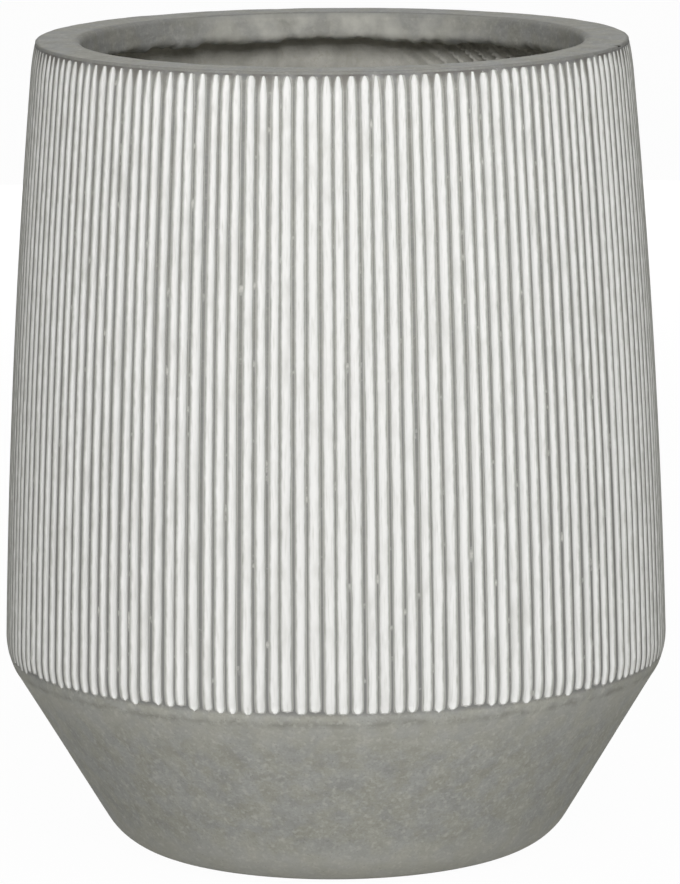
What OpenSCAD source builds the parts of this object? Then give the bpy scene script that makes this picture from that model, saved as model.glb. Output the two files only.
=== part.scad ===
// Tall round planter of fibre-reinforced cement: a fluted upper wall with white slip in the flutes,
// a plain base cone with a rounded foot, a flat rim with a hanging lip, and a lift-out drain plug.
// The origin is the middle of the underside, +Z is up, and sizes are in millimetres.

/* [Pot] */
// Height from the floor to the top of the rim
body_h = 490; // [400:1:560]
// Diameter where the lines of the wall and the base cone meet, before rounding
body_d = 401.4; // [380:0.1:460]
// Diameter where the line of the wall meets the top of the rim, before rounding
rim_d = 361; // [340:1:376]
// Height at which the lines of the wall and the base cone meet
edge_h = 118; // [90:1:150]
// Rounding radius of the widest edge
edge_round = 36; // [20:1:50]
// Diameter where the line of the base cone meets the floor, before rounding
foot_d = 258; // [220:1:290]
// Rounding radius of the foot
foot_round = 40; // [20:1:50]
// Height of the rounded shoulder under the rim
shoulder_h = 16; // [10:1:24]
// Radius of the rounded shoulder under the rim
shoulder_round = 60; // [50:1:100]

/* [Rim] */
// How far the lip reaches into the mouth past the lining
lip_reach = 16.2; // [8:0.1:30]
// Thickness of the flat cap that covers the top of the wall
cap_t = 3.5; // [2.5:0.1:4]
// Height of the lip that hangs inside the mouth
lip_h = 16; // [8:0.5:30]
// Rounding radius of the rim's two top edges
rim_round = 2.5; // [1:0.1:3]

/* [Lay-up] */
// Thickness of the cement face layer on the wall and the base cone
face_t = 6; // [4:0.5:10]
// Thickness of the bond between the face layer and the backing, left open here
bond_t = 0.3; // [0.2:0.1:0.6]
// Thickness of the glass-fibre backing
backing_t = 8; // [5:0.5:14]
// Thickness of the underside below the floor slab
under_t = 10; // [8:0.5:16]
// Thickness of the floor slab
floor_t = 12; // [8:0.5:24]
// Depth of the joint line below the widest edge
seam_drop = 5; // [3:0.5:8]

/* [Flutes] */
// Number of flutes round the wall
flute_n = 154; // [80:2:160]
// Width of a flute at the face of the wall
flute_w = 5.4; // [3:0.1:5.8]
// Depth of a flute
flute_d = 1.6; // [1:0.1:1.7]
// Thickness of the white slip at the bottom of a flute
slip_t = 0.4; // [0.2:0.1:0.6]
// Height that the white slip climbs up the sides of a flute
slip_climb = 0.9; // [0.7:0.1:0.9]

/* [Drain] */
// Diameter of the drain hole
drain_d = 26; // [16:1:40]
// Gap all round between the plug and the drain hole
plug_gap = 0.3; // [0.2:0.1:0.6]
// Length of the plug below its flange
plug_len = 17; // [10:1:18]
// Taper of the plug's radius from its flange to its lower end
plug_taper = 1.2; // [0.5:0.1:2]
// How far the flange reaches past the drain hole
flange_reach = 7; // [4:0.5:12]
// Thickness of the flange
flange_t = 3.5; // [2:0.5:6]
// Width of the pull tab
tab_w = 16; // [12:1:24]
// Height of the pull tab above the flange
tab_h = 17; // [14:1:26]
// Thickness of the pull tab
tab_t = 5; // [3:0.5:8]
// Diameter of the eye in the pull tab
tab_eye_d = 7; // [5:0.5:9]

/* [Hidden] */
cement = "#8f8f89";
slip_white = "#f2f1ec";
fibre_grey = "#7e7c74";
rubber_black = "#2b2b2b";
round_fn = 180;
bend_fn = 48;

function unit(v) = v / norm(v);
function inward(v) = [-v[1], v[0]];
function outward(v) = -inward(v);

// Straight lines of the half outline, before rounding
top = [rim_d / 2, body_h];
edge = [body_d / 2, edge_h];
foot = [foot_d / 2, 0];
wall_dir = unit(top - edge);
cone_dir = unit(edge - foot);
wall_angle = atan2(wall_dir[1], wall_dir[0]);
cone_angle = atan2(cone_dir[1], cone_dir[0]);

// Rounded foot: from the flat underside to the base cone
foot_reach = foot_round * tan(cone_angle / 2);
foot_a = foot - [foot_reach, 0];
foot_b = foot + foot_reach * cone_dir;
foot_c = foot_a + [0, foot_round];

// Rounded widest edge: from the base cone to the wall
edge_reach = edge_round * tan((wall_angle - cone_angle) / 2);
edge_a = edge - edge_reach * cone_dir;
edge_b = edge + edge_reach * wall_dir;
edge_c = edge_b + edge_round * inward(wall_dir);

// Rounded shoulder: from the wall towards the top of the rim
shoulder_a = top - shoulder_h / wall_dir[1] * wall_dir;
shoulder_c = shoulder_a + shoulder_round * inward(wall_dir);

// Rounded brow: from the shoulder to the flat top of the rim
brow_lift = body_h - rim_round - shoulder_c[1];
brow_c = shoulder_c + [sqrt(pow(shoulder_round - rim_round, 2) - pow(brow_lift, 2)), brow_lift];
brow_a = shoulder_c + shoulder_round * unit(brow_c - shoulder_c);
brow_b = brow_c + [0, rim_round];

// Radius of the wall's or the base cone's line at height z, set in by a thickness t
function wall_r(z, t) = edge[0] + (z - edge_h) * wall_dir[0] / wall_dir[1] - t / wall_dir[1];
function cone_r(z, t) = foot[0] + z * cone_dir[0] / cone_dir[1] - t / cone_dir[1];
// Height at which those two lines meet when both are set in by t
function bend_z(t) = edge_h + t * (1 / cone_dir[1] - 1 / wall_dir[1])
    / (cone_dir[0] / cone_dir[1] - wall_dir[0] / wall_dir[1]);

// Heights of the joints between the layers
cap_z = body_h - cap_t;
lip_z = body_h - lip_h;
seam_z = edge_h - seam_drop;
floor_z = under_t + floor_t;
behind = face_t + bond_t;
lining = behind + backing_t;
backing_seam_z = bend_z(lining);

// Flutes: round grooves along the straight part of the wall, by distances from the widest edge
flute_r = (flute_w * flute_w / 4 + flute_d * flute_d) / (2 * flute_d);
flute_axis = edge + (flute_r - flute_d) * outward(wall_dir);
flute_stop = 0.5;
flute_from = edge_reach + flute_stop;
flute_to = norm(shoulder_a - edge) - flute_stop;
flute_len = flute_to - flute_from;

plug_r = drain_d / 2 - plug_gap;
flange_r = drain_d / 2 + flange_reach;

// Round cap of an outline between p and q, on a circle of radius r about c
module bend(c, r, p, q) {
    push = r * unit((p + q) / 2 - c);
    intersection() {
        translate(c) circle(r, $fn = round_fn);
        polygon([p, q, q + push, p + push]);
    }
}

// Half outline of the whole pot, filled to the axis
module outline() {
    polygon([[0, 0], foot_a, foot_b, edge_a, edge_b, shoulder_a, brow_a, brow_b, [0, body_h]]);
    bend(foot_c, foot_round, foot_a, foot_b);
    bend(edge_c, edge_round, edge_a, edge_b);
    bend(shoulder_c, shoulder_round, shoulder_a, brow_a);
    bend(brow_c, rim_round, brow_a, brow_b);
}

// Part of the half outline between two heights
module band(low, high) {
    intersection() {
        outline();
        translate([0, low]) square([body_d, high - low]);
    }
}

// Half outline of the space inside the lining of thickness t, from height low to height high
module space(t, low, high) {
    polygon([
        [0, low], [cone_r(low, t), low], [cone_r(bend_z(t), t), bend_z(t)],
        [wall_r(high, t), high], [0, high]
    ]);
}

module spin() {
    rotate_extrude($fn = round_fn) children();
}

// Places its children at the lower end of every flute, with Z along it and X pointing out of the wall
module at_flutes() {
    for (i = [0 : flute_n - 1])
        rotate([0, 0, 360 * (i + 0.5) / flute_n])
            translate([flute_axis[0], 0, flute_axis[1]])
                rotate([0, 90 - wall_angle, 0]) translate([0, 0, flute_from]) children();
}

module fluted_wall() {
    color(cement) difference() {
        spin() difference() {
            band(seam_z, cap_z);
            space(face_t, under_t, body_h);
        }
        at_flutes() cylinder(r = flute_r, h = flute_len, $fn = bend_fn);
    }
}

module flute_slip() {
    color(slip_white) at_flutes() linear_extrude(flute_len) difference() {
        circle(flute_r, $fn = bend_fn);
        translate([slip_t, 0]) circle(flute_r, $fn = bend_fn);
        translate([slip_climb - flute_r, -2 * flute_r]) square(4 * flute_r);
    }
}

module base_cone() {
    color(cement) difference() {
        spin() difference() {
            band(0, seam_z);
            space(face_t, under_t, body_h);
        }
        translate([0, 0, -under_t]) cylinder(d = drain_d, h = 3 * under_t, $fn = round_fn);
    }
}

module rim_ring() {
    mouth_r = wall_r(body_h, lining) - lip_reach;
    mouth_c = [mouth_r + rim_round, body_h - rim_round];
    color(cement) spin() difference() {
        band(lip_z, body_h);
        polygon([[0, 0], [mouth_r, 0], [mouth_r, mouth_c[1]], [mouth_c[0], body_h], [0, body_h]]);
        difference() {
            polygon([[mouth_r, mouth_c[1]], [mouth_r, body_h], [mouth_c[0], body_h]]);
            translate(mouth_c) circle(rim_round, $fn = bend_fn);
        }
        polygon([
            [wall_r(lip_z, lining), lip_z], [wall_r(cap_z, lining), cap_z],
            [body_d, cap_z], [body_d, lip_z]
        ]);
    }
}

module wall_backing() {
    color(fibre_grey) spin() difference() {
        space(behind, under_t, cap_z);
        space(lining, under_t, body_h);
        square([body_d, backing_seam_z]);
    }
}

module base_backing() {
    color(fibre_grey) spin() difference() {
        space(behind, under_t, backing_seam_z);
        space(lining, under_t, body_h);
        square([body_d, floor_z]);
    }
}

module floor_slab() {
    color(fibre_grey) difference() {
        spin() intersection() {
            space(behind, under_t, body_h);
            translate([0, under_t]) square([body_d, floor_t]);
        }
        cylinder(d = drain_d, h = 2 * floor_z, $fn = round_fn);
    }
}

module tab_outline() {
    eye_z = tab_h - tab_w / 2;
    difference() {
        union() {
            translate([-tab_w / 2, 0]) square([tab_w, eye_z]);
            intersection() {
                translate([0, eye_z]) circle(d = tab_w, $fn = round_fn);
                translate([-tab_w, eye_z]) square([2 * tab_w, tab_w]);
            }
        }
        translate([0, eye_z]) circle(d = tab_eye_d, $fn = round_fn);
    }
}

module drain_plug() {
    color(rubber_black) translate([0, 0, floor_z]) {
        translate([0, 0, -plug_len])
            cylinder(r1 = plug_r - plug_taper, r2 = plug_r, h = plug_len, $fn = round_fn);
        cylinder(r = flange_r, h = flange_t, $fn = round_fn);
        translate([0, tab_t / 2, flange_t]) rotate([90, 0, 0]) linear_extrude(tab_t) tab_outline();
    }
}

fluted_wall();
flute_slip();
base_cone();
rim_ring();
wall_backing();
base_backing();
floor_slab();
drain_plug();
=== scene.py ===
import math
import bpy
import bmesh
import numpy as np
from mathutils import Euler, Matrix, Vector, noise


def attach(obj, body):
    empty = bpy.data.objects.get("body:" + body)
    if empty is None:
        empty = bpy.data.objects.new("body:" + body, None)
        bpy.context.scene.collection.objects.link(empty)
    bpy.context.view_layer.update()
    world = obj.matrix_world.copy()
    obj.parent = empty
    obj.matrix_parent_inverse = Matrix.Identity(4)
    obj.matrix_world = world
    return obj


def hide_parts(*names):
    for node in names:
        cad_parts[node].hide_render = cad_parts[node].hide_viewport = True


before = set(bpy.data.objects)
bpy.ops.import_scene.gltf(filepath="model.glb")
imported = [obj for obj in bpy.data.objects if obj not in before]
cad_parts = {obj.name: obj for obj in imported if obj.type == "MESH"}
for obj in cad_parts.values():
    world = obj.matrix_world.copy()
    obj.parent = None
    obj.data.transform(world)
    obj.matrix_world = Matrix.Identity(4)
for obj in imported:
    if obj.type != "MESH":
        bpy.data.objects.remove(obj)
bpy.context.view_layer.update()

mm = 0.001


def linear(hexCode):
    # sRGB hex to the linear values that Blender's colour sockets take
    parts = [int(hexCode[i:i + 2], 16) / 255 for i in (1, 3, 5)]
    return tuple(c / 12.92 if c <= 0.04045 else ((c + 0.055) / 1.055) ** 2.4 for c in parts) + (1.0,)


def fill(tree, node, sockets):
    # a socket takes a plain value, or a node or output to link from
    for key, value in sockets.items():
        if isinstance(value, bpy.types.Node):
            value = next(output for output in value.outputs if output.enabled)
        if isinstance(value, bpy.types.NodeSocket):
            tree.links.new(value, node.inputs[key])
        else:
            node.inputs[key].default_value = value


def add(tree, kind, sockets=None, **settings):
    # one node with its settings and its filled sockets; a kind without Node in its name is a shader node's
    node = tree.nodes.new(kind if "Node" in kind else "ShaderNode" + kind)
    for name, value in settings.items():
        setattr(node, name, value)
    fill(tree, node, sockets or {})
    return node


def newTree(name, inputs, outputs):
    # a geometry tree with named inputs, given as (name, kind, start value)
    tree = bpy.data.node_groups.new(name, "GeometryNodeTree")
    for label, kind, start in inputs:
        socket = tree.interface.new_socket(name=label, in_out="INPUT", socket_type=kind)
        if start is not None:
            socket.default_value = start
    for label, kind in outputs:
        tree.interface.new_socket(name=label, in_out="OUTPUT", socket_type=kind)
    return tree, add(tree, "NodeGroupInput").outputs, add(tree, "NodeGroupOutput")


def newMaterial(name):
    material = bpy.data.materials.new(name)
    material.use_nodes = True
    tree = material.node_tree
    tree.nodes.clear()
    shader = add(tree, "BsdfPrincipled")
    add(tree, "OutputMaterial", {"Surface": shader})
    return material, tree, shader


def layered(tree, colour, look, layers):
    # lays the look's colours over one another, each through its own mask
    for mask, name in layers:
        colour = add(tree, "Mix", {0: mask, 6: colour, 7: linear(look[name])}, data_type="RGBA")
    return colour


def meshObject(name, mesh, material):
    piece = bpy.data.objects.new(name, mesh)
    bpy.context.scene.collection.objects.link(piece)
    if material:
        mesh.materials.clear()
        mesh.materials.append(material)
    return piece


def grown(name, tree, settings):
    # runs a geometry tree on an empty mesh and keeps the result as a plain mesh
    piece = meshObject(name, bpy.data.meshes.new(name), None)
    modifier = piece.modifiers.new(name, "NODES")
    modifier.node_group = tree
    for item in tree.interface.items_tree:
        if item.in_out == "INPUT" and item.name in settings:
            modifier[item.identifier] = settings[item.name]
    evaluated = piece.evaluated_get(bpy.context.evaluated_depsgraph_get())
    mesh = bpy.data.meshes.new_from_object(evaluated)
    piece.modifiers.remove(modifier)
    piece.data = mesh
    mesh.name = name
    return piece


def finishMesh(mesh, smoothAngle):
    # doubles merged, faces outward, smooth shading that breaks at real edges
    work = bmesh.new()
    work.from_mesh(mesh)
    bmesh.ops.remove_doubles(work, verts=work.verts, dist=0.002 * mm)
    bmesh.ops.delete(work, geom=[e for e in work.edges if e.is_wire], context="EDGES")
    bmesh.ops.recalc_face_normals(work, faces=work.faces)
    work.to_mesh(mesh)
    work.free()
    mesh.polygons.foreach_set("use_smooth", [True] * len(mesh.polygons))
    mesh.set_sharp_from_angle(angle=math.radians(smoothAngle))
    mesh.update()


def takeIn(mesh, other, weld=0.0):
    # moves another mesh into this one; with a weld, near points merge and open ends are filled
    work = bmesh.new()
    work.from_mesh(mesh)
    work.from_mesh(other)
    if weld:
        bmesh.ops.remove_doubles(work, verts=work.verts, dist=weld)
        bmesh.ops.holes_fill(work, edges=[e for e in work.edges if e.is_boundary], sides=0)
    work.to_mesh(mesh)
    work.free()
    bpy.data.meshes.remove(other)  # and the object that holds it, if there is one


def turned(name, profile, steps, material, shape, smoothAngle):
    # spins a closed profile of (radius, height) in millimetres; shape then moves each point
    angles = np.linspace(0, 2 * math.pi, steps, endpoint=False)
    profile = np.array(profile) * mm
    points = np.zeros((len(profile), steps, 3))
    points[..., 0] = profile[:, :1] * np.cos(angles)
    points[..., 1] = profile[:, :1] * np.sin(angles)
    points[..., 2] = profile[:, 1:]
    if shape:
        for ring in points:
            for point, angle in zip(ring, angles):
                shape(point, angle)
    faces = []
    for i in range(len(profile)):
        j = (i + 1) % len(profile)
        for k in range(steps):
            n = (k + 1) % steps
            faces.append((i * steps + k, i * steps + n, j * steps + n, j * steps + k))
    mesh = bpy.data.meshes.new(name)
    mesh.from_pydata(points.reshape(-1, 3).tolist(), [], faces)
    finishMesh(mesh, smoothAngle)
    return meshObject(name, mesh, material)


def wobble(point, size, seed):
    # smooth seeded unevenness between -1 and 1, with lumps of the given size in metres
    x, y, z = point
    return noise.noise(Vector((x / size + seed * 17.3, y / size - seed * 9.1, z / size + seed * 3.7)))


def arcPoints(centre, radius, start, end, count):
    turns = np.radians(np.linspace(start, end, count))
    return [(centre[0] + radius * math.cos(a), centre[1] + radius * math.sin(a)) for a in turns]


# The pot's half outline, in millimetres on the radius and the height
outline = {
    "height": 490.0, "topRadius": 178.35, "widen": 21.7, "crown": 13.2, "wallDrop": 371.6,
    "edgeHeight": 118.4, "edgeRadius": 200.05, "edgeRound": 43.0, "edgeTangent": 130.9,
    "footRadius": 128.8, "footRound": 40.0, "seam": 113.0,
    "shoulderStart": 470.0, "shoulderRound": 140.0, "rimSeat": 488.2,
    "faceDepth": 6.0, "liningDepth": 14.0, "liningStraight": (132.0, 468.0),
}


def wallRadius(z):
    # radius of the wall over the lands at height z
    t = (outline["height"] - z) / outline["wallDrop"]
    radius = outline["topRadius"] + outline["widen"] * t + outline["crown"] * t * (1 - t)
    radius -= max(z - outline["shoulderStart"], 0) ** 2 / (2 * outline["shoulderRound"])
    return radius - max(outline["edgeTangent"] - z, 0) ** 2 / (2 * outline["edgeRound"])


def coneRadius(z):
    # radius of the plain cone at height z, before its foot is rounded
    spread = outline["edgeRadius"] - outline["footRadius"]
    return outline["footRadius"] + z * spread / outline["edgeHeight"]


coneAngle = math.degrees(math.atan2(outline["edgeHeight"], outline["edgeRadius"] - outline["footRadius"]))


def liningRadius(z, depth):
    # radius of a layer set in from the outline, cone and wall meeting at a blunt corner inside
    slant = math.sin(math.radians(coneAngle))
    low, high = outline["liningStraight"]
    return min(coneRadius(z) - depth / slant, wallRadius(min(max(z, low), high)) - depth)


# In the looks below, {1: a, 2: b, 3: c, 4: d} fills a Map Range: a to b becomes c to d, or 0 to 1

# Fine cement, cast against a smooth mould and left bare: grey, matt, faintly cloudy, with pin holes
castCement = {
    "dark": "#979790", "light": "#b7b7b1", "olive": "#aba99a", "cool": "#a4a6a8", "stain": "#8a8a83",
    "fleck": "#c9c9c1", "pitShade": "#6c6c66", "joint": "#75756d", "paleLayer": "#c2c1b9",
    "cloudSize": 12 * mm, "tintSize": 15 * mm, "gritSize": 1.6 * mm, "fleckSize": 3.1 * mm,
    "pitSize": 3.6 * mm, "patchSize": 13 * mm, "streak": 1.0, "tintShare": 0.35, "roughness": 0.9,
    "cloudTone": {1: 0.34, 2: 0.66}, "tintTone": {1: 0.42, 2: 0.58},
    "gritTone": {1: 0.3, 2: 0.7, 3: 0.0, 4: 0.5}, "fleckTone": {1: 0.54, 2: 0.72, 3: 0.0, 4: 0.4},
    "pitTone": {1: 0.16, 2: 0.1, 3: 0.0, 4: 0.25}, "patchTone": {1: 0.6, 2: 0.4, 3: 0.15, 4: 1.0},
    "seamAt": (outline["seam"] + 1.5) * mm, "seamStray": 5 * mm, "nearSeam": {2: 3.2 * mm, 3: 0.95, 4: 0.0},
    # painted light: the two masks here make the cement paler round the foot and by the widest edge
    "footLight": {1: 4 * mm, 2: 34 * mm, 3: 0.55, 4: 0.0}, "edgeAt": 108 * mm,
    "edgeLight": {2: 20 * mm, 3: 0.3, 4: 0.0},
}
# A small chip in the rim's outer arris: how far round from +X, in degrees, and its size in millimetres
chip = {"turn": -15.4, "radius": 176.0, "below": 0.9, "size": 3.8, "depth": 1.8, "inwards": 0.6, "squeeze": 0.8}
chipTurn = math.radians(chip["turn"])
chipSpot = (chip["radius"] * mm * math.cos(chipTurn), chip["radius"] * mm * math.sin(chipTurn),
            (outline["height"] - chip["below"]) * mm)
outerArris = wallRadius(outline["rimSeat"]) * mm
# The same cement trowelled by hand on the rim: the float leaves short smears along the ring. Painted light and
# shade lie on it: the lip's inner face is paler in patches, most at the back, and its edges and the chip are
# darker
trowelCement = dict(
    castCement, dark="#959590", light="#bab9b4", stain="#8d8d87", cloudSize=14 * mm, streak=3.0,
    nearSeam={3: 0.0, 4: 0.0}, paintedLipLight="#d9d8cf", edgeShade="#777773", chip="#3c3c38",
    onLip={1: 150.4 * mm, 2: 151.6 * mm, 3: 1.0, 4: 0.0}, lipPatches={1: 0.35, 2: 0.65, 3: 0.3, 4: 1.0},
    atBack={1: 110 * mm, 2: 149 * mm, 3: 0.04, 4: 1.0},
    onArris={1: outerArris - 2.2 * mm, 2: outerArris - 0.5 * mm, 3: 0.0, 4: 0.52},
    towardsMouth={1: 155.5 * mm, 2: 153 * mm, 3: 0.0, 4: 0.4}, nearTop={1: 485.5 * mm, 2: 487.5 * mm},
    inChip={1: 2.4 * mm, 2: 4.0 * mm, 3: 1.0, 4: 0.0},
)
# On the lands between the flutes some slip was wiped over the arrises, and it stays there as a pale haze
landCement = dict(
    castCement, bare="#7e7e7d", hazeWhite="#dddcd6", grime="#6f6b65", smearSize=11 * mm,
    film={1: 1.0, 2: 1.2, 3: 0.66, 4: 0.0}, wiped={1: 0.62, 2: 0.74, 3: 0.0, 4: 0.75},
    nearRim={1: 470 * mm, 2: 482 * mm, 3: 0.0, 4: 0.12}, loose={1: 0.42, 2: 0.6},
    onWall={1: 117 * mm, 2: 120 * mm}, lowBare={1: 125 * mm, 2: 360 * mm, 3: 0.88, 4: 0.5},
    highBare={1: 482 * mm, 2: 487 * mm, 3: 0.0, 4: 0.95},
    underRim={1: 476 * mm, 2: 486 * mm, 3: 0.0, 4: 0.7}, smudges={1: 0.44, 2: 0.6},
)


def rimMarks(tree, look, place, up, patches):
    # painted light and painted shade on the rim, as masks with the colours they lay on
    level = add(tree, "VectorMath", {0: place, 1: (1, 1, 0)}, operation="MULTIPLY")
    fromAxis = add(tree, "VectorMath", {0: level}, operation="LENGTH")
    back = add(tree, "SeparateXYZ", {0: place}).outputs[1]
    fromChip = add(tree, "VectorMath", {0: place, 1: chipSpot}, operation="DISTANCE")
    onLip, lipPatches, atBack, onArris, towardsMouth, nearTop, inChip = (
        add(tree, "MapRange", {"Value": source, **look[mask]}) for mask, source in (
            ("onLip", fromAxis), ("lipPatches", patches), ("atBack", back), ("onArris", fromAxis),
            ("towardsMouth", fromAxis), ("nearTop", up), ("inChip", fromChip)))
    # painted light: the lip's inner face paler in patches, most at the back, where it faces the lamps
    lipPatchesBack = add(tree, "Math", {0: lipPatches, 1: atBack}, operation="MULTIPLY")
    lipLightTone = add(tree, "Math", {0: onLip, 1: lipPatchesBack}, operation="MULTIPLY")
    # painted shade: both rounded edges darker, the outer one most, and the chip's hollow darker still
    onInner = add(tree, "Math", {0: towardsMouth, 1: nearTop}, operation="MULTIPLY")
    eitherEdgeShade = add(tree, "Math", {0: onArris, 1: onInner}, operation="MAXIMUM")
    return [(lipLightTone, "paintedLipLight"), (eitherEdgeShade, "edgeShade"), (inChip, "chip")]


def landMarks(tree, look, place, up, patches):
    # what the wiping left on the lands, as masks with the colours they lay on
    side = add(tree, "Attribute", attribute_name="side").outputs["Fac"]
    smears = add(tree, "TexNoise", {"Vector": place, "Scale": 1 / look["smearSize"], "Detail": 4.0})
    film, wiped, nearRim, loose, onWall, lowBare, highBare, underRim, smudges = (
        add(tree, "MapRange", {"Value": source, **look[mask]}) for mask, source in (
            ("film", side), ("wiped", smears), ("nearRim", up), ("loose", smears), ("onWall", up),
            ("lowBare", up), ("highBare", up), ("underRim", up), ("smudges", patches)))
    # haze only where there are flutes to wipe, and more under the rim, where the wiping was never finished
    left = add(tree, "Math", {0: nearRim, 1: loose}, operation="MULTIPLY")
    most = add(tree, "Math", {0: film, 1: wiped}, operation="MAXIMUM")
    mostOf = add(tree, "Math", {0: most, 1: left}, operation="MAXIMUM")
    hazeTone = add(tree, "Math", {0: mostOf, 1: onWall}, operation="MULTIPLY")
    # the lands are rubbed barer towards the widest edge, and above the tips they were never wiped
    bareness = add(tree, "Math", {0: lowBare, 1: highBare}, operation="MAXIMUM")
    rubbed = add(tree, "Math", {0: onWall, 1: bareness}, operation="MULTIPLY")
    # grime that gathers under the rim, in smudges
    grimeTone = add(tree, "Math", {0: underRim, 1: smudges}, operation="MULTIPLY")
    return [(rubbed, "bare"), (hazeTone, "hazeWhite"), (grimeTone, "grime")]


def makeCement(name, look, marks=None):
    material, tree, shader = newMaterial(name)
    place = add(tree, "TexCoord").outputs["Object"]
    up = add(tree, "SeparateXYZ", {0: place}).outputs[2]
    around = add(tree, "Mapping", {"Vector": place, "Scale": (1, 1, look["streak"])})
    clouds = add(tree, "TexNoise", {"Vector": around, "Scale": 1 / look["cloudSize"],
                                    "Detail": 6.0, "Roughness": 0.62})
    grit = add(tree, "TexNoise", {"Vector": place, "Scale": 1 / look["gritSize"], "Detail": 3.0, "Roughness": 0.7})
    tints, patches, flecks = (
        add(tree, "TexNoise", {"Vector": place, "Scale": 1 / look[size], "Detail": detail})
        for size, detail in (("tintSize", 3.0), ("patchSize", 4.0), ("fleckSize", 2.0)))
    pits = add(tree, "TexVoronoi", {"Vector": place, "Scale": 1 / look["pitSize"], "Randomness": 1.0})
    cloudTone, patchTone, gritTone, tintTone, fleckTone, pitTone, footLight = (
        add(tree, "MapRange", {"Value": source, **look[mask]}) for mask, source in (
            ("cloudTone", clouds), ("patchTone", clouds), ("gritTone", grit), ("tintTone", tints),
            ("fleckTone", flecks), ("pitTone", pits), ("footLight", up)))
    body = add(tree, "Mix", {0: cloudTone, 6: linear(look["dark"]), 7: linear(look["light"])}, data_type="RGBA")
    # patches a little more olive or more blue, as the mix dried unevenly
    tint = add(tree, "Mix", {0: tintTone, 6: linear(look["olive"]), 7: linear(look["cool"])}, data_type="RGBA")
    tinted = add(tree, "Mix", {0: look["tintShare"], 6: body, 7: tint}, data_type="RGBA")
    # the joint line between the wall and the base: a smudged band of darker patches
    strayed = add(tree, "Math", {0: patches, 1: look["seamStray"], 2: up}, operation="MULTIPLY_ADD")
    fromSeam = add(tree, "Math", {0: strayed, 1: look["seamAt"]}, operation="SUBTRACT")
    seamGap = add(tree, "Math", {0: fromSeam}, operation="ABSOLUTE")
    nearSeam = add(tree, "MapRange", {"Value": seamGap, **look["nearSeam"]})
    seamTone = add(tree, "Math", {0: nearSeam, 1: patchTone}, operation="MULTIPLY")
    # painted light: paler round the foot, where light bounces up from the floor, and on the cone's top by the
    # widest edge
    fromEdge = add(tree, "Math", {0: up, 1: look["edgeAt"]}, operation="SUBTRACT")
    edgeGap = add(tree, "Math", {0: fromEdge}, operation="ABSOLUTE")
    edgeLight = add(tree, "MapRange", {"Value": edgeGap, **look["edgeLight"]})
    paintedPale = add(tree, "Math", {0: footLight, 1: edgeLight}, operation="MAXIMUM")
    # the pin holes are darkened as painted shade, on top of their sunk bump
    layers = [(seamTone, "joint"), (gritTone, "stain"), (fleckTone, "fleck"), (paintedPale, "paleLayer"), (pitTone, "pitShade")]
    if marks:
        layers += marks(tree, look, place, up, patches)
    relief = add(tree, "Math", {0: pitTone, 1: -0.6, 2: grit}, operation="MULTIPLY_ADD")
    bump = add(tree, "Bump", {"Strength": 0.35, "Distance": 0.25 * mm, "Height": relief})
    dry = add(tree, "MapRange", {"Value": clouds, 1: 0.3, 2: 0.7, 3: look["roughness"] - 0.06,
                                 4: look["roughness"] + 0.05})
    fill(tree, shader, {"Base Color": layered(tree, tinted, look, layers), "Roughness": dry, "Normal": bump,
                        "Specular IOR Level": 0.25})
    return material


moulded = makeCement("cement_cast_in_mould", castCement)
fluted = makeCement("cement_cast_and_wiped", landCement, landMarks)
trowelled = makeCement("cement_trowelled", trowelCement, rimMarks)

# White mineral slip, brushed into the flutes and wiped back: chalky white, thin and grey at its edges
wipedSlip = {
    "white": "#efefed", "thin": "#d8d8d4", "worn": "#9a9a93",
    "brushSize": 9 * mm, "nickSize": 2.6 * mm, "strokeSize": 1.2 * mm, "ragged": 0.34,
    "wear": {1: 0.56, 2: 1.08}, "thinness": {1: 0.52, 2: 0.78, 3: 0.0, 4: 0.9},
}


def makeSlip(look):
    material, tree, shader = newMaterial("mineral_slip_wiped")
    place = add(tree, "TexCoord").outputs["Object"]
    side = add(tree, "Attribute", attribute_name="side").outputs["Fac"]
    upright = add(tree, "Mapping", {"Vector": place, "Scale": (1, 1, 0.35)})
    nicks = add(tree, "TexNoise", {"Vector": upright, "Scale": 1 / look["nickSize"], "Detail": 3.0})
    brush = add(tree, "TexNoise", {"Vector": upright, "Scale": 1 / look["brushSize"], "Detail": 4.0})
    bite = add(tree, "Math", {0: nicks, 1: 0.5}, operation="SUBTRACT")
    reach = add(tree, "Math", {0: bite, 1: look["ragged"], 2: side}, operation="MULTIPLY_ADD")
    wear = add(tree, "MapRange", {"Value": reach, **look["wear"]}, interpolation_type="SMOOTHSTEP")
    along = add(tree, "Mapping", {"Vector": place, "Scale": (1, 1, 0.05)})
    strokes = add(tree, "TexNoise", {"Vector": along, "Scale": 1 / look["strokeSize"], "Detail": 2.0})
    brushed = add(tree, "Math", {0: strokes, 1: brush}, operation="MAXIMUM")
    thinness = add(tree, "MapRange", {"Value": brushed, **look["thinness"]})
    colour = layered(tree, linear(look["white"]), look, [(thinness, "thin"), (wear, "worn")])
    bump = add(tree, "Bump", {"Strength": 0.25, "Distance": 0.2 * mm, "Height": nicks})
    fill(tree, shader, {"Base Color": colour, "Roughness": 0.85, "Normal": bump, "Specular IOR Level": 0.2})
    return material


slipWhite = makeSlip(wipedSlip)

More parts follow.
